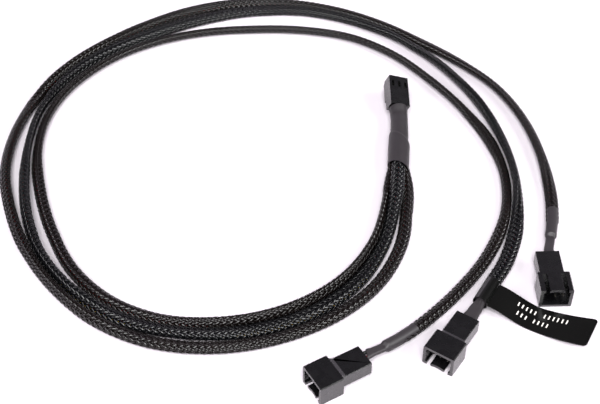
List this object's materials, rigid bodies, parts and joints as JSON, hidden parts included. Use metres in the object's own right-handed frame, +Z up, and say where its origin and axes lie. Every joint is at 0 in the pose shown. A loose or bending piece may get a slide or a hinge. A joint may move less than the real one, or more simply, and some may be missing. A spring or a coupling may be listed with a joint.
{
  "type": "fan splitter cable",
  "caption": "Flexible fan power splitter lead: a female pin connector feeds braided legs that end in male shrouded connectors, laid in one loose loop.",
  "frame": {"origin": "On the surface that the cable lies on, at the middle of the box round its connectors", "axes": "+X to the right and +Y away from the viewer in the picture, +Z up"},
  "size_m": [0.196, 0.202, 0.011],
  "materials": {
    "connector_nylon": "moulded black nylon with a satin face",
    "heat_shrink": "black shrink tube with a low sheen",
    "braided_sleeve": "open braid of glossy black monofilament",
    "label_film": "glossy laminated film",
    "contact_metal": "bright tin plate",
    "wire_red": "extruded red insulation",
    "wire_black": "extruded black insulation",
    "wire_yellow": "extruded yellow insulation"
  },
  "bodies": {
    "root": {"receptacle_housing": "connector_nylon", "receptacle_terminal_1": "contact_metal", "receptacle_terminal_2": "contact_metal", "receptacle_terminal_3": "contact_metal", "trunk_heat_shrink": "heat_shrink", "splitter_collar": "heat_shrink", "trunk_wire_1": "wire_black", "trunk_wire_2": "wire_red", "trunk_wire_3": "wire_black", "trunk_wire_4": "wire_red", "trunk_wire_5": "wire_black", "trunk_wire_6": "wire_red", "trunk_wire_7": "wire_yellow", "leg_a_sleeve": "braided_sleeve", "leg_b_sleeve": "braided_sleeve", "leg_c_sleeve": "braided_sleeve", "plug_a_heat_shrink": "heat_shrink", "plug_b_heat_shrink": "heat_shrink", "plug_c_heat_shrink": "heat_shrink", "plug_a_housing": "connector_nylon", "plug_b_housing": "connector_nylon", "plug_c_housing": "connector_nylon", "plug_a_pin_1": "contact_metal", "plug_a_pin_2": "contact_metal", "plug_b_pin_1": "contact_metal", "plug_b_pin_2": "contact_metal", "plug_b_pin_3": "contact_metal", "plug_c_pin_1": "contact_metal", "plug_c_pin_2": "contact_metal", "plug_a_wire_1": "wire_black", "plug_a_wire_2": "wire_red", "plug_b_wire_1": "wire_black", "plug_b_wire_2": "wire_red", "plug_b_wire_3": "wire_yellow", "plug_c_wire_1": "wire_black", "plug_c_wire_2": "wire_red", "flag_label": "label_film"}
  },
  "joints": []
}
